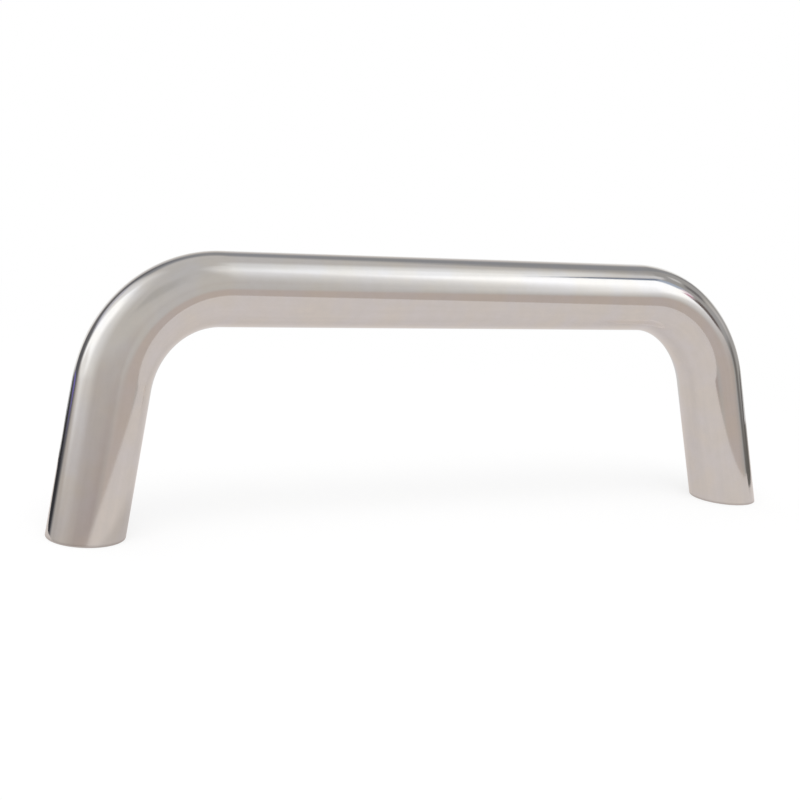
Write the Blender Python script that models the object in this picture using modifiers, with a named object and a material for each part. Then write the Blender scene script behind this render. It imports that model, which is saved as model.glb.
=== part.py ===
"""Boat grab rail: one bent, polished stainless tube standing on two splayed legs.

Each leg's mouth is closed by a plate that is welded in and ground flush. Inside the
tube, a boss on the plate carries the thread for the bolt that comes up through the deck.

Units are metres. +X runs along the rail, +Z is up from the deck, and the rail leans
back towards +Y. The origin is the middle of the underside of the whole rail's box.
"""

import math

import bmesh
import bpy
from mathutils import Vector

INCH = 0.0254
GAP = 0.0003                       # clearance between two pieces that meet face to face

# Driving dimensions: the bent tube
TUBE_OD = 1.0 * INCH
TUBE_WALL = 0.065 * INCH
FOOT_CENTRES = 10.5 * INCH         # between the middles of the two feet, on the deck
BEND_RADIUS = 1.5 * INCH           # of the tube's centreline
RAIL_HEIGHT = 0.080                # deck to the top run's centreline, measured in the rail's plane
LEG_SPLAY = math.radians(10.0)     # each leg from square to the top run
RAKE = math.radians(9.0)           # the rail's plane from square to the deck

# Driving dimensions: what closes each foot
PLATE_THICKNESS = 0.003
FOOT_WELD_WIDTH = 0.00185          # groove between the plate's edge and the tube's bore
FOOT_WELD_DEPTH = 0.002
BOSS_OD = 0.012
BOSS_LENGTH = 0.012
BOSS_CHAMFER = 0.0006
BOSS_WELD_LEG = 0.0021
TAP_DRILL_R = 0.0034               # core of a 5/16 in - 18 thread, drilled but not cut
TAP_MOUTH_CHAMFER = 0.0007

# Fineness of the faceted solids
TUBE_SIDES = 40
BEND_STEPS = 14
HOLE_SIDES = 24
BOSS_SIDES = 32

# Worked out from the dimensions above
TUBE_R = TUBE_OD / 2
BORE_R = TUBE_R - TUBE_WALL
BEND_ANGLE = math.pi / 2 - LEG_SPLAY
FOOT_X = FOOT_CENTRES / 2
CORNER_X = FOOT_X - RAIL_HEIGHT * math.tan(LEG_SPLAY)
BEND_X = CORNER_X - BEND_RADIUS * math.tan(BEND_ANGLE / 2)
BEND_HEIGHT = RAIL_HEIGHT - BEND_RADIUS
FOOT_FRONT = TUBE_R / math.cos(RAKE)
TOP_BACK = RAIL_HEIGHT * math.sin(RAKE) + TUBE_R
FOOT_Y = (FOOT_FRONT - TOP_BACK) / 2           # puts the origin midway between front and back
WELD_OUTER_R = BORE_R - GAP
WELD_INNER_R = WELD_OUTER_R - FOOT_WELD_WIDTH
PLATE_R = WELD_INNER_R - GAP
BOSS_BOTTOM = PLATE_THICKNESS + GAP
BOSS_TOP = BOSS_BOTTOM + BOSS_LENGTH
OVERRUN = 0.010                    # how far a shape runs on below the deck before it is cut
MERGE = 0.00001


def clear_scene():
    """Remove every object that is already in the file."""
    for item in list(bpy.data.objects):
        bpy.data.objects.remove(item, do_unlink=True)


def new_collection(name):
    """Make a collection in the scene."""
    collection = bpy.data.collections.new(name)
    bpy.context.scene.collection.children.link(collection)
    return collection


def steel(name, colour, roughness):
    """Make a bare metal material."""
    material = bpy.data.materials.new(name)
    material.use_nodes = True
    shader = material.node_tree.nodes["Principled BSDF"]
    shader.inputs["Base Color"].default_value = (*colour, 1.0)
    shader.inputs["Metallic"].default_value = 1.0
    shader.inputs["Roughness"].default_value = roughness
    return material


def place(item, collection, material=None):
    """Put an object in one collection only, and give it its material."""
    for old in list(item.users_collection):
        old.objects.unlink(item)
    collection.objects.link(item)
    if material:
        item.data.materials.clear()
        item.data.materials.append(material)
    return item


def as_cutter(item):
    """Put a shape that only cuts others with the cutters, and keep it out of sight."""
    place(item, CUTTERS)
    item.hide_render = True
    item.display_type = "WIRE"
    return item


def shade(item):
    """Shade round faces smooth and leave the cut edges crisp."""
    item.data.shade_smooth()
    item.data.set_sharp_from_angle(angle=math.radians(30))
    return item


def boolean(item, operation, other):
    """Cut or trim an object by another with a live modifier."""
    modifier = item.modifiers.new(f"{operation.lower()}_{other.name}", "BOOLEAN")
    modifier.operation = operation
    modifier.solver = "EXACT"
    modifier.object = other


# ---------------------------------------------------------------- shapes

def centreline():
    """Points along the tube's middle in the rail's plane, from left foot to right foot."""
    right = []
    for step in range(BEND_STEPS + 1):
        angle = math.pi / 2 - BEND_ANGLE * step / BEND_STEPS
        x = BEND_X + BEND_RADIUS * math.cos(angle)
        height = BEND_HEIGHT + BEND_RADIUS * math.sin(angle)
        right.append((x, height))
    right.append((FOOT_X + OVERRUN * math.tan(LEG_SPLAY), -OVERRUN))
    left = [(-x, height) for x, height in reversed(right)]
    return left + right


def swept_rod(name, radius):
    """Sweep a round section along the centreline and return it as one closed mesh object."""
    curve = bpy.data.curves.new(name + "_path", "CURVE")
    curve.dimensions = "3D"
    points = centreline()
    spline = curve.splines.new("POLY")
    spline.points.add(len(points) - 1)
    for point, (x, height) in zip(spline.points, points):
        point.co = (x, height, 0.0, 1.0)
    curve.bevel_depth = radius
    curve.bevel_resolution = TUBE_SIDES // 2 - 2
    curve.use_fill_caps = True
    path = bpy.data.objects.new(name + "_path", curve)
    bpy.context.scene.collection.objects.link(path)
    path.location = (0.0, FOOT_Y, 0.0)
    path.rotation_euler = (math.pi / 2 - RAKE, 0.0, 0.0)
    bpy.context.view_layer.update()

    evaluated = path.evaluated_get(bpy.context.evaluated_depsgraph_get())
    mesh = bpy.data.meshes.new_from_object(evaluated)
    welded = bmesh.new()
    welded.from_mesh(mesh)
    bmesh.ops.remove_doubles(welded, verts=welded.verts, dist=MERGE)
    bmesh.ops.recalc_face_normals(welded, faces=welded.faces)
    welded.to_mesh(mesh)
    welded.free()
    rod = bpy.data.objects.new(name, mesh)
    rod.matrix_world = path.matrix_world
    bpy.context.scene.collection.objects.link(rod)
    bpy.data.objects.remove(path, do_unlink=True)
    return rod


def leg_direction(side):
    """Unit vector up the leg on one side: -1 is left, +1 is right."""
    return Vector((
        -side * math.sin(LEG_SPLAY),
        math.cos(LEG_SPLAY) * math.sin(RAKE),
        math.cos(LEG_SPLAY) * math.cos(RAKE),
    ))


def leg_cylinder(name, side, radius, foot):
    """Cylinder on a leg's own axis, long enough to be cut by a level slab."""
    bpy.ops.mesh.primitive_cylinder_add(vertices=TUBE_SIDES, radius=radius, depth=4 * OVERRUN)
    cylinder = bpy.context.object
    cylinder.name = name
    cylinder.parent = foot
    cylinder.rotation_euler = leg_direction(side).to_track_quat("Z", "Y").to_euler()
    return cylinder


def level_slab(name, bottom, top):
    """Wide level block between two heights."""
    bpy.ops.mesh.primitive_cube_add(size=1.0)
    slab = bpy.context.object
    slab.name = name
    slab.dimensions = (FOOT_CENTRES + 8 * OVERRUN, 8 * OVERRUN, top - bottom)
    slab.location = (0.0, 0.0, (bottom + top) / 2)
    bpy.ops.object.transform_apply(location=False, rotation=False, scale=True)
    return as_cutter(slab)


def turned(name, profile, sides, closed):
    """Turn a profile of (radius, height) points about +Z."""
    mesh = bpy.data.meshes.new(name)
    outline = bmesh.new()
    points = [outline.verts.new((radius, 0.0, height)) for radius, height in profile]
    ends = points[1:] + points[:1] if closed else points[1:]
    for start, end in zip(points, ends):
        outline.edges.new((start, end))
    outline.to_mesh(mesh)
    outline.free()
    item = bpy.data.objects.new(name, mesh)
    bpy.context.scene.collection.objects.link(item)
    screw = item.modifiers.new("turn", "SCREW")
    screw.axis = "Z"
    screw.steps = sides
    screw.render_steps = sides
    screw.use_merge_vertices = True
    screw.merge_threshold = MERGE
    screw.use_smooth_shade = False
    return item


# ---------------------------------------------------------------- pieces

def rail_tube():
    """The bent tube, hollow from mouth to mouth, with both feet cut level with the deck."""
    tube = place(swept_rod("rail_tube", TUBE_R), PARTS, POLISHED)
    boolean(tube, "DIFFERENCE", as_cutter(swept_rod("tube_bore", BORE_R)))
    boolean(tube, "DIFFERENCE", level_slab("below_deck", -4 * OVERRUN, 0.0))
    return shade(tube)


def tap_drill(side_name, foot):
    """Cutter for the threaded hole: straight, with a chamfered mouth at the deck."""
    past = TAP_MOUTH_CHAMFER
    profile = [
        (0.0, BOSS_TOP + OVERRUN),
        (TAP_DRILL_R, BOSS_TOP + OVERRUN),
        (TAP_DRILL_R, TAP_MOUTH_CHAMFER),
        (TAP_DRILL_R + TAP_MOUTH_CHAMFER + past, -past),
        (0.0, -past),
    ]
    drill = turned(side_name + "_tap_drill", profile, HOLE_SIDES, closed=False)
    drill.parent = foot
    return as_cutter(drill)


def foot_plate(side_name, side, foot, slab, drill):
    """Plate that closes the mouth, with the threaded hole through its middle."""
    plate = leg_cylinder(side_name + "_foot_plate", side, PLATE_R, foot)
    place(plate, PARTS, GROUND)
    boolean(plate, "INTERSECT", slab)
    boolean(plate, "DIFFERENCE", drill)
    return shade(plate)


def foot_weld(side_name, side, foot, slab):
    """Weld that fills the groove round the plate, ground flush with the foot."""
    weld = leg_cylinder(side_name + "_foot_weld", side, WELD_OUTER_R, foot)
    place(weld, PARTS, WELD)
    inner = as_cutter(leg_cylinder(side_name + "_weld_bore", side, WELD_INNER_R, foot))
    boolean(weld, "INTERSECT", slab)
    boolean(weld, "DIFFERENCE", inner)
    return shade(weld)


def threaded_boss(side_name, foot, drill):
    """Round boss standing on the plate inside the tube, bored for the deck bolt."""
    bpy.ops.mesh.primitive_cylinder_add(vertices=BOSS_SIDES, radius=BOSS_OD / 2, depth=BOSS_LENGTH)
    boss = bpy.context.object
    boss.name = side_name + "_threaded_boss"
    boss.parent = foot
    boss.location = (0.0, 0.0, (BOSS_BOTTOM + BOSS_TOP) / 2)
    place(boss, PARTS, GROUND)
    bevel = boss.modifiers.new("chamfer", "BEVEL")
    bevel.width = BOSS_CHAMFER
    bevel.segments = 1
    bevel.limit_method = "ANGLE"
    bevel.angle_limit = math.radians(60)
    boolean(boss, "DIFFERENCE", drill)
    return shade(boss)


def boss_weld(side_name, foot):
    """Fillet weld round the bottom of the boss."""
    inner_r = BOSS_OD / 2 + GAP
    profile = [
        (inner_r, BOSS_BOTTOM + BOSS_WELD_LEG),
        (inner_r + BOSS_WELD_LEG, BOSS_BOTTOM),
        (inner_r, BOSS_BOTTOM),
    ]
    weld = turned(side_name + "_boss_weld", profile, BOSS_SIDES, closed=True)
    weld.parent = foot
    return place(weld, PARTS, WELD)


def foot_pieces(side_name, side, plate_slab, weld_slab):
    """Everything inside one foot, hung on an empty at the foot's middle."""
    foot = bpy.data.objects.new(side_name + "_foot", None)
    PARTS.objects.link(foot)
    foot.location = (side * FOOT_X, FOOT_Y, 0.0)
    drill = tap_drill(side_name, foot)
    foot_plate(side_name, side, foot, plate_slab, drill)
    foot_weld(side_name, side, foot, weld_slab)
    threaded_boss(side_name, foot, drill)
    boss_weld(side_name, foot)


clear_scene()
PARTS = new_collection("grab_rail")
CUTTERS = new_collection("grab_rail_cutters")
POLISHED = steel("polished_stainless", (0.74, 0.71, 0.68), 0.08)
GROUND = steel("ground_stainless", (0.60, 0.58, 0.56), 0.35)
WELD = steel("weld_bead", (0.55, 0.52, 0.49), 0.40)

rail_tube()
PLATE_SLAB = level_slab("plate_slab", 0.0, PLATE_THICKNESS)
WELD_SLAB = level_slab("weld_slab", 0.0, FOOT_WELD_DEPTH)
for foot_name, foot_side in (("left", -1), ("right", 1)):
    foot_pieces(foot_name, foot_side, PLATE_SLAB, WELD_SLAB)
bpy.context.view_layer.update()
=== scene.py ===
"""Looks of the boat grab rail: fine meshes, worn steel materials and a plain white studio.

Lengths are metres in the CAD frame: +X along the rail, +Z up from the deck, and the
rail leans back towards +Y. Azimuths turn from 0, towards -Y, through 90, towards +X.
"""

import math
from collections import namedtuple

import bmesh
import bpy
import numpy as np
from mathutils import Matrix, Vector, noise


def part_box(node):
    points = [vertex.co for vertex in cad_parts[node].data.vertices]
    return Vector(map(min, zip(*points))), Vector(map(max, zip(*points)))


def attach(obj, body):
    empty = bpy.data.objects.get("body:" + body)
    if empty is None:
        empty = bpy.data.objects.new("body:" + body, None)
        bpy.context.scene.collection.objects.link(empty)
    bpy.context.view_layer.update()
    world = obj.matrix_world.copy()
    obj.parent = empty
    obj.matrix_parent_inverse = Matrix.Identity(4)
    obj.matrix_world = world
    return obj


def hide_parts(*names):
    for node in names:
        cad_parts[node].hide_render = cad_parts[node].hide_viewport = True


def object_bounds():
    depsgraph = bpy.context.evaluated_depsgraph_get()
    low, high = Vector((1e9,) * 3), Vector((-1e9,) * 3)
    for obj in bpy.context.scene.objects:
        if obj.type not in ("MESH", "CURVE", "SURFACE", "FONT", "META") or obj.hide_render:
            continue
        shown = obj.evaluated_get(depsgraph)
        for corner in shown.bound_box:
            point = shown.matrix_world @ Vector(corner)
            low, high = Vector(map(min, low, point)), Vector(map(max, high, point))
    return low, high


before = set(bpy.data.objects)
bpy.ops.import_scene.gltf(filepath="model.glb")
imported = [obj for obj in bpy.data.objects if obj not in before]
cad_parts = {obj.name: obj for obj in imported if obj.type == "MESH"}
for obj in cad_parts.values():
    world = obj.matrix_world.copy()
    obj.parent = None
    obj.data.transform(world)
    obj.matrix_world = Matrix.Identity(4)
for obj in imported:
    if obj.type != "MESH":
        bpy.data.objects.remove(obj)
CAD_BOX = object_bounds()

INCH = 0.0254
MM = 0.001

# The design's own dimensions, as in the CAD
TUBE_R = INCH / 2
BORE_R = TUBE_R - 0.065 * INCH
FOOT_X = 10.5 * INCH / 2
BEND_RADIUS = 1.5 * INCH
RAIL_HEIGHT = 80 * MM                  # along the rail's own leaning plane
LEG_SPLAY = math.radians(10)
RAKE = math.radians(9)

# Worked out from them and from the frame
FOOT_Y = CAD_BOX[0].y + TUBE_R / math.cos(RAKE)
BEND_ANGLE = math.pi / 2 - LEG_SPLAY
BEND_TANGENT = BEND_RADIUS * math.tan(BEND_ANGLE / 2)
BEND_X = FOOT_X - RAIL_HEIGHT * math.tan(LEG_SPLAY) - BEND_TANGENT
BEND_HEIGHT = RAIL_HEIGHT - BEND_RADIUS
LEG_LENGTH = RAIL_HEIGHT / math.cos(LEG_SPLAY) - BEND_TANGENT
PLATE_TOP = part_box("left_foot_plate")[1].z
WELD_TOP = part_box("left_foot_weld")[1].z
BOSS_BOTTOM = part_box("left_threaded_boss")[0].z
BOSS_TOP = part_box("left_threaded_boss")[1].z
BOSS_R = (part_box("left_threaded_boss")[1].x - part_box("left_threaded_boss")[0].x) / 2
BOSS_WELD_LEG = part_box("left_boss_weld")[1].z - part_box("left_boss_weld")[0].z

# Fine shape that only the looks have
PLATE_R = BORE_R - 2.1 * MM            # where the plate's edge meets the weld
FOOT_EDGE = 0.4 * MM                   # radius that polishing leaves on the foot's edge
FIRST_LEG_RING = 1.3 * FOOT_EDGE       # just above it, so the leg's own faces stay straight
EDGE_SHADE_HEIGHTS = (0.35 * MM, 1.2 * MM)      # heights between which the painted shade on the foot's bottom edge fades out
DULL_FOOT = 9 * MM                     # height up to which a foot is a little less polished
FUSION_GROOVE = 0.12 * MM              # depth of the line on each side of the ground weld
FUSION_WANDER = 0.18 * MM              # how far those lines stray, and over what length
WANDER_LENGTH = 2.5 * MM
BEAD_RIPPLES = 30                      # round one boss
BEAD_THROAT = 0.62                     # the bead's throat, ripple and toes, as shares of its leg
BEAD_RIPPLE = 0.07
BEAD_TOE = 0.38
COUNTERSINK = 0.7 * MM
BOSS_CHAMFER = 0.6 * MM
THREAD_PITCH = INCH / 18               # 5/16 in - 18
THREAD_MAJOR_R = 5 / 32 * INCH
THREAD_MINOR_R = THREAD_MAJOR_R - 0.5413 * THREAD_PITCH

# Fineness of the meshes
SIDES = 192
LEG_ROWS = 20
BEND_ROWS = 72
TOP_ROWS = 30
BORE_BEND_ROWS = 24
EDGE_ROWS = 6
RING_SIDES = 144
THREAD_SIDES = 60
ROWS_PER_PITCH = 12
BEAD_SIDES = 240
BEAD_STEPS = 6
TURNED_CREASE = math.radians(25)       # edges sharper than this stay crisp on turned pieces

# Colours of bare steel, linear
POLISHED_WARM = (0.714, 0.692, 0.662)
POLISHED_COOL = (0.701, 0.693, 0.702)
POLISHED_WORN = (0.655, 0.647, 0.636)
# painted shade for the foot's bottom edge, in place of the contact shadow that edge would reflect
PAINTED_EDGE_SHADE = (0.53, 0.515, 0.50)
GROUND_DULL = (0.50, 0.485, 0.47)
GROUND_BRIGHT = (0.66, 0.645, 0.63)
MILL_DULL = (0.42, 0.41, 0.40)
MILL_BRIGHT = (0.56, 0.55, 0.54)
HEAT_BLUE = (0.50, 0.49, 0.50)
HEAT_STRAW = (0.60, 0.53, 0.42)
PORE = (0.18, 0.17, 0.16)

# Camera, placed as seen from a point between the feet
CAMERA_AZIMUTH = math.radians(-30.448)
CAMERA_ELEVATION = math.radians(11.237)
CAMERA_ROLL = math.radians(5.430)
CAMERA_DISTANCE = 0.5506
CAMERA_TARGET = Vector((-0.02158, FOOT_Y, 0.04285))
CAMERA_LENS = 70.59

# Studio. Radiances are linear, and 1.0 is white in the picture.
BACKDROP = 1.0
DIFFUSE_SKY = 0.80
LAMP_SIZE = 1.0
LAMP_POWER = 9.5
LAMP_PLACE = Vector((-0.3, -0.4, 1.5))
FLOOR_ALBEDO = 0.95
FLOOR_REACH = 12.0
FLOOR_SINK = 0.04 * MM                 # keeps the floor clear of the feet
FLOOR_GLOW = 0.72                      # share of its light that the rail can't shade, by the rail
FLOOR_FADE = (0.15, 0.55)              # distances over which that share grows to all of it
TABLE_SINK = 0.02 * MM
TABLE_COLOUR = (0.77, 0.707, 0.676)
# The table that the steel reflects, measured from the line between the feet: the outline of
# its flat part, and the raised front edge that it curls up to
TABLE_FLAT = (
    (0.37, -0.05), (0.25, 0.0), (0.238, 0.03), (0.29, 0.135), (-0.09, 0.135), (-0.09, 0.12),
    (-0.152, 0.12), (-0.152, 0.013), (-0.20, -0.03), (-2.5, -0.04),
)
TABLE_EDGE = ((0.37, -0.071, 0.010), (-2.20, -1.75, 0.155))
TABLE_CURL_ROWS = 8
TABLE_GLOW = 0.75                      # share of the table's light that the rail can't shade
# The left leg's shadow on that table, from full at the inner radius to none at the outer
SHADOW_MIDDLE = (-0.107, -0.010, 0.0)
SHADOW_INNER = 6 * MM
SHADOW_OUTER = 60 * MM
SHADOW_GLOW = 0.76                     # how much of the table's own light is left in it
SHEET_COLOUR = (0.74, 0.72, 0.71)
SHEET_BEHIND = (
    (0.75, 0.135), (0.75, 2.0), (-0.04, 2.0), (-0.04, 0.19), (-0.152, 0.19), (-0.152, 0.135),
)
SECOND_LOOK = (0.98, 0.92, 0.89)       # what the rail's reflection of itself reflects
SECOND_GAIN = 0.38                     # and how much brighter the table is in it
TENT = (                               # elevation in degrees and the tent's radiance there
    (-90.0, (0.60, 0.58, 0.56)),
    (-3.0, (0.56, 0.52, 0.49)),
    (5.0, (0.55, 0.49, 0.455)),
    (15.0, (0.595, 0.55, 0.52)),
    (35.0, (0.67, 0.64, 0.61)),
    (55.0, (0.65, 0.625, 0.60)),
    (90.0, (0.64, 0.62, 0.60)),
)
# Patches over the tent, later ones on top. Azimuth is (left, right, soft left, soft right) and
# elevation is (bottom, top, soft bottom, soft top), all in degrees; the soft margins lie outside
# the edges. Lean is the degrees of azimuth that a patch moves right for each degree it rises.
Patch = namedtuple("Patch", "azimuth elevation radiance lean", defaults=(0.0,))
STUDIO_PATCHES = (
    # a darker fold low in the tent's front and another above it
    Patch((-48, -14, 14, 14), (-6, 5, 3, 8), (0.49, 0.42, 0.39)),
    Patch((-34, -8, 20, 24), (56, 62, 10, 14), (0.56, 0.54, 0.515)),
    # a paler fold low on the tent's right
    Patch((12, 48, 14, 12), (-16, 6, 4, 14), (0.61, 0.53, 0.485)),
    Patch((10, 48, 14, 12), (12, 20, 8, 10), (0.65, 0.62, 0.59)),
    # the white backdrop behind the rail
    Patch((130, 182, 12, 16), (-60, 0, 5, 27), (1.00, 1.00, 0.99), lean=-1.0),
    Patch((126, 140, 10, 8), (0, 13, 5, 16), (0.98, 0.98, 0.97), lean=-0.2),
    # the dim room to its right and above it
    Patch((68, 108, 3, 18), (-4, 47, 2, 6), (0.44, 0.43, 0.42)),
    Patch((100, 124, 10, 8), (14, 47, 7, 6), (0.43, 0.42, 0.41)),
    Patch((120, 188, 6, 12), (34, 42, 14, 12), (0.33, 0.335, 0.35)),
    Patch((78, 86, 4, 4), (26, 32, 4, 3), (0.22, 0.21, 0.21), lean=0.3),
    Patch((76, 82, 3, 4), (36, 39, 2, 3), (0.72, 0.71, 0.70), lean=0.5),
    Patch((80, 88, 4, 5), (47, 50, 4, 4), (0.82, 0.81, 0.81)),
    Patch((92, 101, 5, 5), (12, 20, 4, 6), (0.58, 0.56, 0.54)),
    Patch((112, 119, 4, 3), (15, 24, 4, 5), (0.31, 0.30, 0.30), lean=0.3),
    Patch((75, 82, 5, 10), (-4, 8, 3, 5), (0.22, 0.21, 0.20)),
    # large soft light behind, on the left: its halo, then its core
    Patch((-148, -105, 24, 45), (18, 50, 20, 30), (0.95, 0.94, 0.93)),
    Patch((-138, -120, 10, 22), (17, 43, 18, 20), (1.41, 1.42, 1.43)),
    Patch((-130, -122, 6, 14), (7, 14, 7, 8), (1.05, 1.04, 1.03)),
    # large soft light in front, on the right, and its spill along the ceiling
    Patch((44, 60, 18, 10), (20, 58, 14, 24), (0.96, 0.95, 0.94)),
    Patch((62, 84, 10, 30), (54, 60, 3, 16), (1.00, 1.00, 0.99)),
    Patch((46, 61, 12, 4), (24, 47, 8, 14), (1.45, 1.46, 1.47), lean=0.15),
    Patch((56, 72, 14, 12), (54, 56, 3, 9), (1.20, 1.21, 1.21)),
    # black flag beside the left light, with a slanting upper edge
    Patch((-163, -148, 9, 16), (-40, 14, 1, 10), (0.13, 0.13, 0.14), lean=-0.3),
    Patch((-152, -144, 9, 13), (10, 28, 5, 18), (0.17, 0.17, 0.18), lean=-1.0),
    Patch((-172, -150, 8, 8), (-40, -7, 1, 3), (0.04, 0.04, 0.045)),
    Patch((-190, -160, 8, 8), (-40, -11, 1, 2), (0.08, 0.08, 0.085)),
    # the lights' coloured edges and the stand under the right one
    Patch((-131, -127, 2, 3), (20, 32, 4, 4), (0.55, 0.55, 0.67), lean=-1.0),
    Patch((-158, -150, 4, 4), (-3.3, -2.6, 0.8, 0.8), (0.24, 0.19, 0.66)),
    Patch((64, 69, 2, 6), (34, 48, 3, 3), (0.50, 0.57, 0.69), lean=0.1),
    Patch((69, 74, 2, 2), (47, 51, 1.5, 1.5), (0.24, 0.28, 0.36)),
    Patch((60, 66, 3, 4), (15, 24, 3, 3), (0.18, 0.15, 0.14), lean=0.1),
    Patch((63, 66, 2, 2), (26, 28, 1, 2), (0.58, 0.22, 0.33)),
    Patch((68, 71, 2, 2), (28, 32, 1, 2), (1.02, 0.86, 0.94)),
    # dark gap under the room on the right
    Patch((76, 102, 6, 16), (-8, -2, 3, 3), (0.16, 0.15, 0.14)),
)


# ---------------------------------------------------------------- the tube's geometry

def in_rail_plane(x, height):
    """World direction or offset of (x, height) in the rail's leaning plane."""
    return np.array([x, height * math.sin(RAKE), height * math.cos(RAKE)])


PLANE_NORMAL = np.array([0.0, math.cos(RAKE), -math.sin(RAKE)])
FOOT_LINE = np.array([0.0, FOOT_Y, 0.0])
LEFT_FOOT = np.array([-FOOT_X, FOOT_Y, 0.0])
LEG_UP = in_rail_plane(math.sin(LEG_SPLAY), math.cos(LEG_SPLAY))
LEG_OUT = in_rail_plane(-math.cos(LEG_SPLAY), math.sin(LEG_SPLAY))


def section_normals(outward, sides):
    """Unit normals round a section, from the in-plane outward one."""
    angles = np.arange(sides) * 2 * math.pi / sides
    return np.outer(np.cos(angles), outward) + np.outer(np.sin(angles), PLANE_NORMAL)


def level_ring(radius, height, sides):
    """Ring where the left leg's cylinder of this radius meets a level plane."""
    ring = LEFT_FOOT + radius * section_normals(LEG_OUT, sides)
    rise = (height - ring[:, 2]) / LEG_UP[2]
    return ring + np.outer(rise, LEG_UP)


def square_ring(x, height, outward, radius, sides):
    """Ring square to the centreline at a point of the rail's plane."""
    return FOOT_LINE + in_rail_plane(x, height) + radius * section_normals(outward, sides)


def left_half(radius, foot_height, leg_rows, bend_rows, top_rows, sides):
    """Rings up the left leg from a level cut, round the bend and along the top to the middle."""
    cut = level_ring(radius, foot_height, sides)
    along_leg = LEG_LENGTH * LEG_UP
    square = LEFT_FOOT + along_leg + radius * section_normals(LEG_OUT, sides)
    rings = [cut + (square - cut) * row / leg_rows for row in range(leg_rows)]
    for row in range(bend_rows):
        angle = math.pi - LEG_SPLAY - BEND_ANGLE * row / bend_rows
        x = -BEND_X + BEND_RADIUS * math.cos(angle)
        height = BEND_HEIGHT + BEND_RADIUS * math.sin(angle)
        outward = in_rail_plane(math.cos(angle), math.sin(angle))
        rings.append(square_ring(x, height, outward, radius, sides))
    upward = in_rail_plane(0.0, 1.0)
    for row in range(top_rows + 1):
        x = -BEND_X * (1 - row / top_rows)
        rings.append(square_ring(x, RAIL_HEIGHT, upward, radius, sides))
    return rings


def both_halves(rings):
    """Carry on rings that end at the middle with their mirror images, down to the other foot."""
    mirrored = [ring * (-1, 1, 1) for ring in reversed(rings[:-1])]
    return rings + mirrored


def grid_faces(rows, columns, closed):
    """Quads over rows of rings; a closed grid joins its last row to its first."""
    faces = []
    for row in range(rows if closed else rows - 1):
        above = (row + 1) % rows
        for column in range(columns):
            across = (column + 1) % columns
            faces.append((row * columns + column, row * columns + across,
                          above * columns + across, above * columns + column))
    return faces


def mesh_object(name, points, faces, crease=math.radians(40)):
    """Object from points and faces, with its normals out and its crisp edges marked."""
    mesh = bpy.data.meshes.new(name)
    mesh.from_pydata([tuple(map(float, point)) for point in points], [], faces)
    work = bmesh.new()
    work.from_mesh(mesh)
    bmesh.ops.recalc_face_normals(work, faces=work.faces)
    work.to_mesh(mesh)
    work.free()
    mesh.shade_smooth()
    mesh.set_sharp_from_angle(angle=crease)
    item = bpy.data.objects.new(name, mesh)
    bpy.context.scene.collection.objects.link(item)
    return item


def unwrap_tube(item, rings, sides):
    """UVs in metres: along the tube, and round it."""
    centres = np.array([ring.mean(axis=0) for ring in rings])
    steps = np.linalg.norm(np.diff(centres, axis=0), axis=1)
    along = np.concatenate([[0.0], np.cumsum(steps)])
    layer = item.data.uv_layers.new(name="along_and_round")
    for face in item.data.polygons:
        columns = [vertex % sides for vertex in face.vertices]
        wraps = max(columns) - min(columns) > sides / 2
        for loop, vertex in zip(face.loop_indices, face.vertices):
            row, column = divmod(vertex, sides)
            if wraps and column == 0:
                column = sides
            layer.data[loop].uv = (along[row], column / sides * 2 * math.pi * TUBE_R)


def rail(polished, ground, mill):
    """The tube: one closed skin, up the outside and back down the bore."""
    foot = [level_ring(TUBE_R - FOOT_EDGE * (1 - math.sin(turn)), FOOT_EDGE * (1 - math.cos(turn)), SIDES)
            for turn in np.linspace(0, math.pi / 2, EDGE_ROWS)]
    leg = left_half(TUBE_R, FIRST_LEG_RING, LEG_ROWS, BEND_ROWS, TOP_ROWS, SIDES)
    outside = both_halves(foot + leg)
    bore = both_halves(left_half(BORE_R, 0.0, 1, BORE_BEND_ROWS, 1, SIDES))
    rings = outside + bore[::-1]
    faces = grid_faces(len(rings), SIDES, closed=True)
    item = mesh_object("polished_rail", np.concatenate(rings), faces)
    for material in (polished, ground, mill):
        item.data.materials.append(material)
    lands = (len(outside) - 1, len(rings) - 1)
    for face in item.data.polygons:
        rows = {vertex // SIDES for vertex in face.vertices}
        if rows in ({lands[0], lands[0] + 1}, {lands[1], 0}):
            face.material_index = 1
        elif min(rows) > lands[0]:
            face.material_index = 2
    unwrap_tube(item, rings, SIDES)
    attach(item, "root")
    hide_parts("rail_tube")
    return item


# ---------------------------------------------------------------- what closes each foot

def on_side(points, side):
    """Points of the left foot, or their mirror image for the right one."""
    return points if side < 0 else points * (-1, 1, 1)


def thread_radius(turn):
    """Radius of the internal thread's surface, by the share of a pitch from its root."""
    turn %= 1.0
    root, crest_start, crest_end = 0.125, 0.4375, 0.6875
    if turn < root:
        depth = 0.0
    elif turn < crest_start:
        depth = (turn - root) / (crest_start - root)
    elif turn < crest_end:
        depth = 1.0
    else:
        depth = (1.0 - turn) / (1.0 - crest_end)
    return THREAD_MAJOR_R + (THREAD_MINOR_R - THREAD_MAJOR_R) * depth


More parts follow.
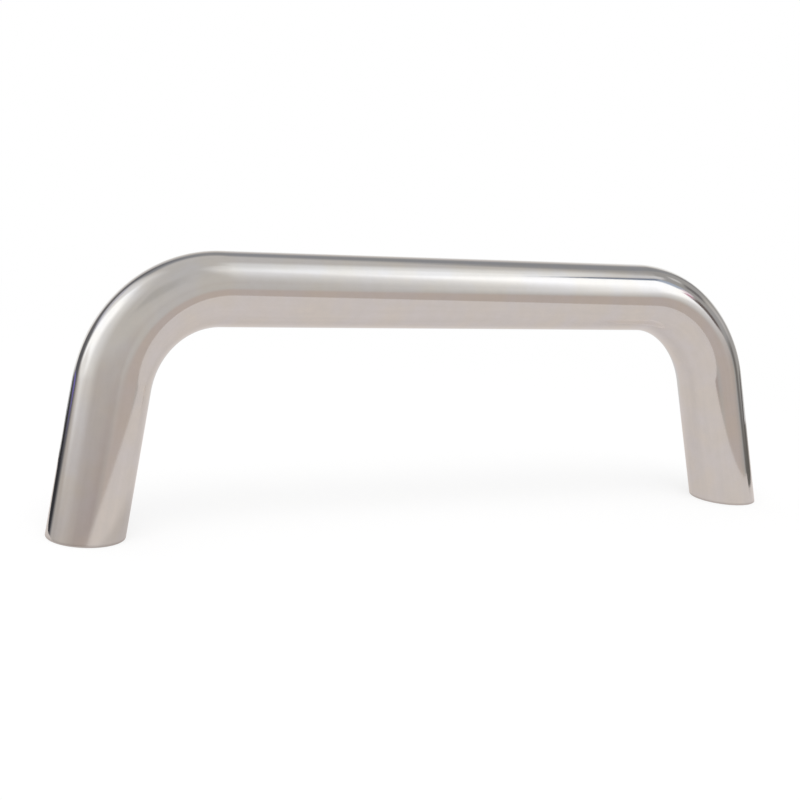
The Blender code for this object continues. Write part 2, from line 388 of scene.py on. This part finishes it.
def tap(side):
    """Cutter like a tap: a helical thread that opens into a countersink at the deck."""
    foot = on_side(LEFT_FOOT, side)
    low, high = -THREAD_PITCH, BOSS_TOP + THREAD_PITCH
    rows = round((high - low) / THREAD_PITCH * ROWS_PER_PITCH)
    points = []
    for row in range(rows + 1):
        height = low + (high - low) * row / rows
        countersunk = THREAD_MAJOR_R + COUNTERSINK - height
        for column in range(THREAD_SIDES):
            share = column / THREAD_SIDES
            radius = max(thread_radius(height / THREAD_PITCH - share), countersunk)
            angle = 2 * math.pi * share
            points.append(foot + (radius * math.cos(angle), radius * math.sin(angle), height))
    faces = grid_faces(rows + 1, THREAD_SIDES, closed=False)
    faces.append(tuple(range(THREAD_SIDES)))
    faces.append(tuple(range(rows * THREAD_SIDES, (rows + 1) * THREAD_SIDES)))
    return mesh_object("tap", points, faces)


def bore_out(item, cutter):
    """Cut the thread through a piece and keep the result as the piece's own mesh."""
    cut = item.modifiers.new("thread", "BOOLEAN")
    cut.operation = "DIFFERENCE"
    cut.solver = "EXACT"
    cut.object = cutter
    bpy.context.view_layer.update()
    evaluated = item.evaluated_get(bpy.context.evaluated_depsgraph_get())
    threaded = bpy.data.meshes.new_from_object(evaluated)
    item.modifiers.remove(cut)
    item.data = threaded
    threaded.shade_smooth()
    threaded.set_sharp_from_angle(angle=TURNED_CREASE)


def finish_piece(item, side_name, node, material):
    """Give a piece its material, put it on the root body, and hide the CAD node that it stands for."""
    item.data.materials.clear()
    item.data.materials.append(material)
    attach(item, "root")
    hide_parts(f"{side_name}_{node}")


def foot_plate(side_name, side, cutter, material):
    """Plate in the mouth of the leg, square to the deck and threaded through."""
    rings = [level_ring(PLATE_R, height, RING_SIDES) for height in (0.0, PLATE_TOP)]
    faces = grid_faces(2, RING_SIDES, closed=False)
    faces += [tuple(range(RING_SIDES)), tuple(range(RING_SIDES, 2 * RING_SIDES))]
    item = mesh_object(side_name + "_tapped_plate", on_side(np.concatenate(rings), side), faces)
    bore_out(item, cutter)
    finish_piece(item, side_name, "foot_plate", material)


def foot_weld(side_name, side, material):
    """Ground-flush weld between plate and tube, with a fusion line along each edge."""
    inset = 0.25 * MM
    bead = 0.35 * MM
    middle = (PLATE_R + BORE_R) / 2
    section = ((BORE_R, FUSION_GROOVE), (BORE_R - inset, 0.0), (PLATE_R + inset, 0.0),
               (PLATE_R, FUSION_GROOVE), (PLATE_R, WELD_TOP), (middle, WELD_TOP + bead),
               (BORE_R, WELD_TOP))
    rings = []
    for row, (radius, height) in enumerate(section):
        ring = level_ring(radius, height, RING_SIDES)
        wander = FUSION_WANDER if row in (1, 2) else 0.0
        middle_of_ring = ring.mean(axis=0)
        for column, point in enumerate(ring):
            outward = point - middle_of_ring
            outward /= np.linalg.norm(outward)
            waver = noise.noise(Vector(point) / WANDER_LENGTH)
            ring[column] = point + outward * wander * waver
        rings.append(ring)
    faces = grid_faces(len(rings), RING_SIDES, closed=True)
    item = mesh_object(side_name + "_ground_weld", on_side(np.concatenate(rings), side), faces)
    finish_piece(item, side_name, "foot_weld", material)


def upright_ring(centre, radius, height, sides):
    """Level circle about a foot's middle."""
    angles = np.arange(sides) * 2 * math.pi / sides
    circle = np.stack([radius * np.cos(angles), radius * np.sin(angles),
                       np.full(sides, height)], axis=1)
    return centre + circle


def threaded_boss(side_name, side, cutter, material):
    """Turned boss on the plate, inside the tube, with chamfered ends."""
    foot = on_side(LEFT_FOOT, side)
    section = ((BOSS_R - BOSS_CHAMFER, BOSS_BOTTOM), (BOSS_R, BOSS_BOTTOM + BOSS_CHAMFER),
               (BOSS_R, BOSS_TOP - BOSS_CHAMFER), (BOSS_R - BOSS_CHAMFER, BOSS_TOP))
    rings = [upright_ring(foot, radius, height, RING_SIDES) for radius, height in section]
    faces = grid_faces(len(rings), RING_SIDES, closed=False)
    top = (len(rings) - 1) * RING_SIDES
    faces += [tuple(range(RING_SIDES)), tuple(range(top, top + RING_SIDES))]
    item = mesh_object(side_name + "_turned_boss", np.concatenate(rings), faces, TURNED_CREASE)
    bore_out(item, cutter)
    finish_piece(item, side_name, "threaded_boss", material)


def boss_weld(side_name, side, material):
    """Rippled fillet bead round the bottom of the boss."""
    foot = on_side(LEFT_FOOT, side)
    corner = np.array([BOSS_R, BOSS_BOTTOM])
    points = []
    for column in range(BEAD_SIDES):
        angle = 2 * math.pi * column / BEAD_SIDES
        lap = (column * BEAD_RIPPLES / BEAD_SIDES) % 1.0
        throat = BEAD_THROAT + BEAD_RIPPLE * math.sqrt(1 - lap)
        section = [corner]
        for step in range(BEAD_STEPS + 1):
            turn = math.pi / 2 * step / BEAD_STEPS
            reach = throat + BEAD_TOE * abs(math.cos(2 * turn))
            if step in (0, BEAD_STEPS):
                reach = 1.0
            outward = np.array([math.cos(turn), math.sin(turn)])
            section.append(corner + BOSS_WELD_LEG * reach * outward)
        for radius, height in section:
            points.append(foot + (radius * math.cos(angle), radius * math.sin(angle), height))
    faces = grid_faces(BEAD_SIDES, BEAD_STEPS + 2, closed=True)
    item = mesh_object(side_name + "_boss_bead", points, faces, math.radians(60))
    finish_piece(item, side_name, "boss_weld", material)


# ---------------------------------------------------------------- node helpers

class Nodes:
    """Short names for adding nodes to one node tree."""

    def __init__(self, tree):
        self.tree = tree

    def add(self, kind, **settings):
        made = self.tree.nodes.new("ShaderNode" + kind)
        for name, value in settings.items():
            setattr(made, name, value)
        return made

    def feed(self, socket, value):
        """Link a socket or set a plain value."""
        if isinstance(value, bpy.types.NodeSocket):
            self.tree.links.new(value, socket)
        else:
            socket.default_value = value

    def math(self, operation, *values):
        made = self.add("Math", operation=operation)
        for socket, value in zip(made.inputs, values):
            self.feed(socket, value)
        return made.outputs[0]

    def blend(self, share, first, second):
        """Mix two colours."""
        made = self.add("Mix", data_type="RGBA")
        self.feed(made.inputs["Factor"], share)
        for socket, value in zip((made.inputs[6], made.inputs[7]), (first, second)):
            self.feed(socket, (*value, 1.0) if isinstance(value, tuple) else value)
        return made.outputs[2]

    def scaled(self, value, low, high, new_low, new_high, smooth=False):
        made = self.add("MapRange", interpolation_type="SMOOTHSTEP" if smooth else "LINEAR")
        for socket, number in zip(made.inputs, (value, low, high, new_low, new_high)):
            self.feed(socket, number)
        return made.outputs[0]

    def noise(self, coordinates, scale, detail=2.0, stretch=(1.0, 1.0, 1.0), roughness=0.5):
        """Noise of so many features a metre; stretch squeezes it along each axis."""
        mapping = self.add("Mapping")
        mapping.inputs["Scale"].default_value = stretch
        self.feed(mapping.inputs["Vector"], coordinates)
        made = self.add("TexNoise")
        made.inputs["Scale"].default_value = scale
        made.inputs["Detail"].default_value = detail
        made.inputs["Roughness"].default_value = roughness
        self.feed(made.inputs["Vector"], mapping.outputs[0])
        return made.outputs["Fac"]

    def bump(self, height, depth, below=None):
        """Bump of so many metres from a height of 0 to 1, on top of another bump."""
        made = self.add("Bump")
        made.inputs["Distance"].default_value = depth
        self.feed(made.inputs["Height"], height)
        if below is not None:
            self.feed(made.inputs["Normal"], below)
        return made.outputs[0]


def new_metal(name):
    """Empty metal material, its nodes and its shader."""
    material = bpy.data.materials.new(name)
    material.use_nodes = True
    shader = material.node_tree.nodes["Principled BSDF"]
    shader.inputs["Metallic"].default_value = 1.0
    return material, Nodes(material.node_tree), shader


# ---------------------------------------------------------------- materials

def polished_steel():
    """Mirror polish: faint waves and fine lines from buffing, haze, stains, a little less polish low on
    the feet and painted shade on the foot's bottom edge.
    """
    material, nodes, shader = new_metal("polished_stainless")
    surface = nodes.add("UVMap", uv_map="along_and_round").outputs[0]
    place = nodes.add("TexCoord").outputs["Object"]
    haze = nodes.noise(place, 38.0, detail=4.0, roughness=0.6)
    buffing = nodes.noise(surface, 2600.0, detail=3.0, stretch=(1.0, 0.02, 1.0))
    drawing = nodes.noise(surface, 1500.0, detail=2.0, stretch=(0.012, 1.0, 1.0))
    wave = nodes.noise(surface, 70.0, detail=1.0, stretch=(0.35, 1.0, 1.0))
    height = nodes.add("SeparateXYZ")
    nodes.feed(height.inputs[0], place)
    near_foot = nodes.scaled(height.outputs["Z"], 0.0, DULL_FOOT, 1.0, 0.0, smooth=True)

    mottle = nodes.noise(place, 210.0, detail=3.0, roughness=0.65)
    streaks = nodes.noise(surface, 420.0, detail=3.0, stretch=(0.04, 1.0, 1.0), roughness=0.6)
    stains = nodes.noise(place, 85.0, detail=2.0)
    tint = nodes.scaled(stains, 0.38, 0.62, 0.0, 1.0)
    colour = nodes.blend(tint, POLISHED_WARM, POLISHED_COOL)
    worn = nodes.math("MULTIPLY_ADD", mottle, 0.5, nodes.math("MULTIPLY", streaks, 0.5))
    colour = nodes.blend(nodes.scaled(worn, 0.40, 0.62, 0.0, 0.5), colour, POLISHED_WORN)
    # painted shade: the foot's bottom edge darkened as if it reflected its contact shadow on the table
    edge_shade = nodes.scaled(height.outputs["Z"], *EDGE_SHADE_HEIGHTS, 0.8, 0.0, smooth=True)
    colour = nodes.blend(edge_shade, colour, PAINTED_EDGE_SHADE)
    nodes.feed(shader.inputs["Base Color"], colour)

    rough = nodes.scaled(haze, 0.35, 0.75, 0.055, 0.095)
    rough = nodes.math("MULTIPLY_ADD", buffing, 0.03, rough)
    rough = nodes.math("MULTIPLY_ADD", near_foot, 0.03, rough)
    nodes.feed(shader.inputs["Roughness"], rough)

    normal = nodes.bump(wave, 0.012 * MM)
    normal = nodes.bump(drawing, 0.0006 * MM, normal)
    normal = nodes.bump(buffing, 0.0005 * MM, normal)
    nodes.feed(shader.inputs["Normal"], normal)
    return material


def belt_marks(nodes, place):
    """Straight marks that a grinding belt leaves across the rail."""
    return nodes.noise(place, 1900.0, detail=4.0, stretch=(1.0, 0.03, 0.6), roughness=0.6)


def ground_steel():
    """Ground face: straight belt marks and small changes of shade."""
    material, nodes, shader = new_metal("ground_stainless")
    place = nodes.add("TexCoord").outputs["Object"]
    marks = belt_marks(nodes, place)
    patches = nodes.noise(place, 160.0, detail=3.0)
    shade = nodes.scaled(marks, 0.3, 0.7, 0.0, 1.0)
    colour = nodes.blend(shade, GROUND_DULL, GROUND_BRIGHT)
    nodes.feed(shader.inputs["Base Color"], colour)
    rough = nodes.scaled(patches, 0.3, 0.7, 0.26, 0.40)
    nodes.feed(shader.inputs["Roughness"], nodes.math("MULTIPLY_ADD", marks, 0.08, rough))
    nodes.feed(shader.inputs["Normal"], nodes.bump(marks, 0.006 * MM))
    return material


def mill_steel():
    """Inside of the tube: dull mill finish with lines along the draw."""
    material, nodes, shader = new_metal("mill_stainless")
    surface = nodes.add("UVMap", uv_map="along_and_round").outputs[0]
    lines = nodes.noise(surface, 900.0, detail=3.0, stretch=(0.03, 1.0, 1.0))
    colour = nodes.blend(lines, MILL_DULL, MILL_BRIGHT)
    nodes.feed(shader.inputs["Base Color"], colour)
    nodes.feed(shader.inputs["Roughness"], nodes.scaled(lines, 0.3, 0.7, 0.38, 0.52))
    nodes.feed(shader.inputs["Normal"], nodes.bump(lines, 0.008 * MM))
    return material


def weld_steel():
    """Weld metal: straw and faint blue heat tint, ground marks and a few pores."""
    material, nodes, shader = new_metal("weld_bead")
    place = nodes.add("TexCoord").outputs["Object"]
    tint = nodes.noise(place, 210.0, detail=3.0)
    marks = belt_marks(nodes, place)
    pores = nodes.add("TexVoronoi")
    pores.inputs["Scale"].default_value = 900.0
    nodes.feed(pores.inputs["Vector"], place)
    pore = nodes.scaled(pores.outputs["Distance"], 0.08, 0.16, 0.0, 1.0, smooth=True)
    tinted = nodes.blend(nodes.scaled(tint, 0.35, 0.6, 0.0, 1.0), HEAT_BLUE, HEAT_STRAW)
    colour = nodes.blend(nodes.scaled(marks, 0.3, 0.7, 0.0, 0.5), tinted, GROUND_BRIGHT)
    colour = nodes.blend(pore, PORE, colour)
    nodes.feed(shader.inputs["Base Color"], colour)
    nodes.feed(shader.inputs["Roughness"], nodes.scaled(tint, 0.3, 0.7, 0.30, 0.46))
    nodes.feed(shader.inputs["Normal"], nodes.bump(marks, 0.006 * MM, nodes.bump(pore, 0.05 * MM)))
    return material


# ---------------------------------------------------------------- studio

def hide_from(item, *rays):
    """Keep a stage object out of some kinds of ray: camera, diffuse, glossy, shadow."""
    for ray in rays:
        setattr(item, "visible_" + ray, False)


def stage_object(name, points, faces, material):
    """Stage surface through these points."""
    mesh = bpy.data.meshes.new(name)
    mesh.from_pydata(points, [], faces)
    mesh.materials.append(material)
    item = bpy.data.objects.new(name, mesh)
    bpy.context.scene.collection.objects.link(item)
    return item


def floor():
    """White floor that the camera sees, fading into the backdrop away from the rail."""
    material = bpy.data.materials.new("studio_floor")
    material.use_nodes = True
    nodes = Nodes(material.node_tree)
    material.node_tree.nodes.remove(material.node_tree.nodes["Principled BSDF"])
    lit = nodes.add("BsdfDiffuse")
    lit.inputs["Color"].default_value = (FLOOR_ALBEDO,) * 3 + (1.0,)
    even = nodes.add("Emission")
    even.inputs["Color"].default_value = (BACKDROP,) * 3 + (1.0,)
    place = nodes.add("TexCoord").outputs["Object"]
    distance = nodes.add("VectorMath", operation="LENGTH")
    nodes.feed(distance.inputs[0], place)
    fade = nodes.scaled(distance.outputs["Value"], *FLOOR_FADE, FLOOR_GLOW, 1.0, smooth=True)
    mix = nodes.add("MixShader")
    nodes.feed(mix.inputs[0], fade)
    nodes.feed(mix.inputs[1], lit.outputs[0])
    nodes.feed(mix.inputs[2], even.outputs[0])
    nodes.feed(material.node_tree.nodes["Material Output"].inputs[0], mix.outputs[0])
    square = ((-1, -1), (1, -1), (1, 1), (-1, 1))
    corners = [(x * FLOOR_REACH, y * FLOOR_REACH, -FLOOR_SINK) for x, y in square]
    item = stage_object("studio_floor", corners, [(0, 1, 2, 3)], material)
    hide_from(item, "glossy")


def reflected_again(nodes):
    """1 where a ray has already met the steel more than once, as in the rail's own reflection."""
    return nodes.math("GREATER_THAN", nodes.add("LightPath").outputs["Glossy Depth"], 1.5)


def card(name, colour):
    """Dead matt material that gives part of its light by itself, less in the left leg's shadow."""
    material = bpy.data.materials.new(name)
    material.use_nodes = True
    shader = material.node_tree.nodes["Principled BSDF"]
    shader.inputs["Base Color"].default_value = (*(Vector(colour) * (1 - TABLE_GLOW)), 1.0)
    shader.inputs["Emission Color"].default_value = (*colour, 1.0)
    nodes = Nodes(material.node_tree)
    glow = nodes.math("MULTIPLY_ADD", reflected_again(nodes), SECOND_GAIN, TABLE_GLOW)
    away = nodes.add("VectorMath", operation="DISTANCE")
    nodes.feed(away.inputs[0], nodes.add("TexCoord").outputs["Object"])
    away.inputs[1].default_value = SHADOW_MIDDLE
    shadow = nodes.scaled(away.outputs["Value"], SHADOW_INNER, SHADOW_OUTER, SHADOW_GLOW, 1.0, smooth=True)
    nodes.feed(shader.inputs["Emission Strength"], nodes.math("MULTIPLY", glow, shadow))
    shader.inputs["Roughness"].default_value = 1.0
    shader.inputs["Specular IOR Level"].default_value = 0.0
    return material


def reflected_table():
    """Pale table and the sheet behind it, which only the steel's reflections see."""
    sink = Vector((0.0, FOOT_Y, -TABLE_SINK))
    points = [Vector((x, y, 0.0)) + sink for x, y in TABLE_FLAT]
    faces = [tuple(range(len(points)))]
    near = [Vector((*TABLE_FLAT[0], 0.0)), Vector((*TABLE_FLAT[-1], 0.0))]
    far = [Vector(corner) for corner in TABLE_EDGE]
    first = len(points)
    for row in range(TABLE_CURL_ROWS + 1):
        out = row / TABLE_CURL_ROWS
        for start, end in zip(near, far):
            place = start.lerp(end, out)
            place.z = end.z * out * out
            points.append(place + sink)
    for row in range(TABLE_CURL_ROWS):
        corner = first + 2 * row
        faces.append((corner, corner + 1, corner + 3, corner + 2))
    table = stage_object("reflected_table", points, faces, card("table_card", TABLE_COLOUR))
    points = [Vector((x, y, 0.0)) + sink for x, y in SHEET_BEHIND]
    faces = [tuple(range(len(points)))]
    sheet = stage_object("reflected_sheet", points, faces, card("sheet_card", SHEET_COLOUR))
    for item in (table, sheet):
        hide_from(item, "camera", "diffuse", "shadow")


def window(nodes, value, low, high, soft_low, soft_high):
    """1 between low and high, falling smoothly to 0 over the soft margins outside."""
    rise = nodes.scaled(value, low - soft_low, low, 0.0, 1.0, smooth=True)
    fall = nodes.scaled(value, high, high + soft_high, 1.0, 0.0, smooth=True)
    return nodes.math("MULTIPLY", rise, fall)


def studio():
    """World: what the steel reflects, with an even white for the camera and the floor."""
    world = bpy.data.worlds.new("studio")
    bpy.context.scene.world = world
    world.use_nodes = True
    nodes = Nodes(world.node_tree)
    direction = nodes.add("SeparateXYZ")
    nodes.feed(direction.inputs[0], nodes.add("TexCoord").outputs["Generated"])
    x, y, z = direction.outputs
    azimuth = nodes.math("DEGREES", nodes.math("ARCTAN2", x, nodes.math("MULTIPLY", y, -1.0)))
    elevation = nodes.math("DEGREES", nodes.math("ARCSINE", z))

    ramp = nodes.add("ValToRGB")
    nodes.feed(ramp.inputs[0], nodes.scaled(elevation, -90.0, 90.0, 0.0, 1.0))
    ramp.color_ramp.interpolation = "EASE"
    stops = ramp.color_ramp.elements
    while len(stops) < len(TENT):
        stops.new(0.5)
    for stop, (height, colour) in zip(stops, TENT):
        stop.position = (height + 90.0) / 180.0
        stop.color = (*colour, 1.0)
    seen = ramp.outputs[0]
    for patch in STUDIO_PATCHES:
        left, right, soft_left, soft_right = patch.azimuth
        middle = (left + right) / 2
        leant = nodes.math("MULTIPLY_ADD", elevation, -patch.lean, azimuth)
        turned = nodes.math("WRAP", nodes.math("SUBTRACT", leant, middle), 180.0, -180.0)
        across = window(nodes, turned, left - middle, right - middle, soft_left, soft_right)
        up = window(nodes, elevation, *patch.elevation)
        seen = nodes.blend(nodes.math("MULTIPLY", across, up), seen, patch.radiance)

    seen = nodes.blend(reflected_again(nodes), seen, SECOND_LOOK)
    rays = nodes.add("LightPath")
    colour = nodes.blend(rays.outputs["Is Glossy Ray"], (DIFFUSE_SKY,) * 3, seen)
    colour = nodes.blend(rays.outputs["Is Camera Ray"], colour, (BACKDROP,) * 3)
    nodes.feed(world.node_tree.nodes["Background"].inputs["Color"], colour)


def overhead_light():
    """Large soft light above, which only shades the floor round the feet."""
    data = bpy.data.lights.new("overhead", "AREA")
    data.shape = "SQUARE"
    data.size = LAMP_SIZE
    data.energy = LAMP_POWER
    item = bpy.data.objects.new("overhead", data)
    item.location = LAMP_PLACE
    item.rotation_euler = (-LAMP_PLACE).to_track_quat("-Z", "Y").to_euler()
    bpy.context.scene.collection.objects.link(item)
    hide_from(item, "glossy")


def camera():
    """Camera at the photograph's viewing angle."""
    flat = math.cos(CAMERA_ELEVATION)
    back = Vector((math.sin(CAMERA_AZIMUTH) * flat, -math.cos(CAMERA_AZIMUTH) * flat,
                   math.sin(CAMERA_ELEVATION)))
    right = (-back).cross(Vector((0.0, 0.0, 1.0))).normalized()
    upright = Matrix((right, back.cross(right), back)).transposed()
    data = bpy.data.cameras.new("camera")
    data.lens = CAMERA_LENS
    item = bpy.data.objects.new("camera", data)
    bpy.context.scene.collection.objects.link(item)
    turned = upright @ Matrix.Rotation(CAMERA_ROLL, 3, "Z")
    item.matrix_world = Matrix.Translation(CAMERA_TARGET + back * CAMERA_DISTANCE) @ turned.to_4x4()
    bpy.context.scene.camera = item


# ---------------------------------------------------------------- make it all

camera()
studio()
floor()
reflected_table()
overhead_light()
bpy.context.scene.view_settings.view_transform = "Standard"

POLISHED = polished_steel()
GROUND = ground_steel()
MILL = mill_steel()
WELD = weld_steel()
rail(POLISHED, GROUND, MILL)
for foot_name, foot_side in (("left", -1), ("right", 1)):
    thread = tap(foot_side)
    foot_plate(foot_name, foot_side, thread, GROUND)
    foot_weld(foot_name, foot_side, WELD)
    threaded_boss(foot_name, foot_side, thread, GROUND)
    boss_weld(foot_name, foot_side, WELD)
    bpy.data.objects.remove(thread, do_unlink=True)
